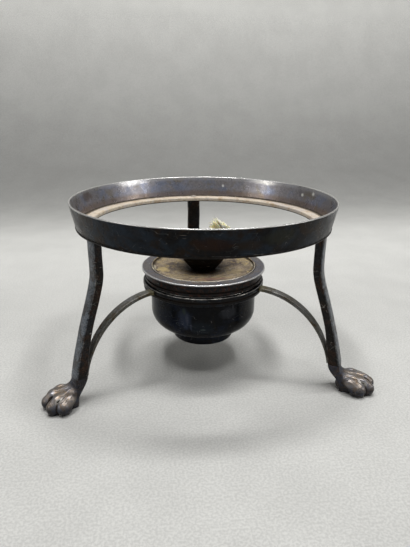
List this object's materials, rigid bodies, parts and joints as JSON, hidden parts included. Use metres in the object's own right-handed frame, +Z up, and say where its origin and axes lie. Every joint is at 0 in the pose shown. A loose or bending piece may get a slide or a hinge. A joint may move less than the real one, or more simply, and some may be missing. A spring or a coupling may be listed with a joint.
{
  "type": "tripod burner stand with spirit lamp",
  "caption": "Round flared collar on paw-footed legs, with a spirit lamp hung in a ring between them to keep a pot or dish warm on the table.",
  "frame": {"origin": "on the ground, in the middle of the rectangle that the stand covers seen from above; the collar's and lamp's axis is 15.77 mm in front of it, towards -Y", "axes": "+Z up, +X to the right seen from the front, +Y back, towards the single back leg"},
  "size_m": [0.1956, 0.1916, 0.1102],
  "materials": {
    "collar_plate": "tarnished silver plate, nearly black outside, blue-violet grey inside",
    "ledge_plate": "silver plate worn pale and slightly pink",
    "leg_plate": "tarnished silver plate, blue-grey, worn bright on the edges",
    "paw_casting": "cast and plated, bright on the toes, dark in the grooves",
    "arm_plate": "tarnished silver plate, grey with an olive tint",
    "holder_plate": "tarnished silver plate with bright edges",
    "pot_plate": "glossy blue-black tarnished silver plate with pale smudges",
    "lid_plate": "heat-dulled blue-grey plate",
    "dish_plate": "heat-stained tan and brown plate",
    "bare_brass": "dull brown brass",
    "sooted_metal": "sooty brown-black",
    "cotton_wick": "cream cotton, frayed at the top"
  },
  "bodies": {
    "stand": {"collar_band": "collar_plate", "seat_ring": "ledge_plate", "leg_left": "leg_plate", "leg_right": "leg_plate", "leg_back": "leg_plate", "rivet_left": "ledge_plate", "rivet_right": "ledge_plate", "rivet_back": "ledge_plate", "paw_left": "paw_casting", "paw_right": "paw_casting", "paw_back": "paw_casting", "arm_left": "arm_plate", "arm_right": "arm_plate", "arm_back": "arm_plate", "holder_ring": "holder_plate"},
    "lamp": {"lamp_pot": "pot_plate", "pot_collar": "holder_plate"},
    "lid": {"lid_ring": "lid_plate", "lid_dish": "dish_plate", "burner_bush": "bare_brass"},
    "burner": {"burner_cup": "sooted_metal", "wick_tube": "bare_brass"},
    "wick_cord": {"wick": "cotton_wick"}
  },
  "joints": [
    {"name": "lamp_lift", "type": "slide", "parent": "stand", "child": "lamp", "axis": [0, 0, 1], "range_m": [0, 0.095]},
    {"name": "lid_lift", "type": "slide", "parent": "lamp", "child": "lid", "axis": [0, 0, 1], "range_m": [0, 0.045]},
    {"name": "burner_turn", "type": "hinge", "parent": "lid", "child": "burner", "pos_m": [0, -0.01577, 0.064], "axis": [0, 0, 1], "range_deg": [0, 540]},
    {"name": "wick_raise", "type": "slide", "parent": "burner", "child": "wick_cord", "axis": [0, 0, 1], "range_m": [-0.002, 0.006]}
  ]
}
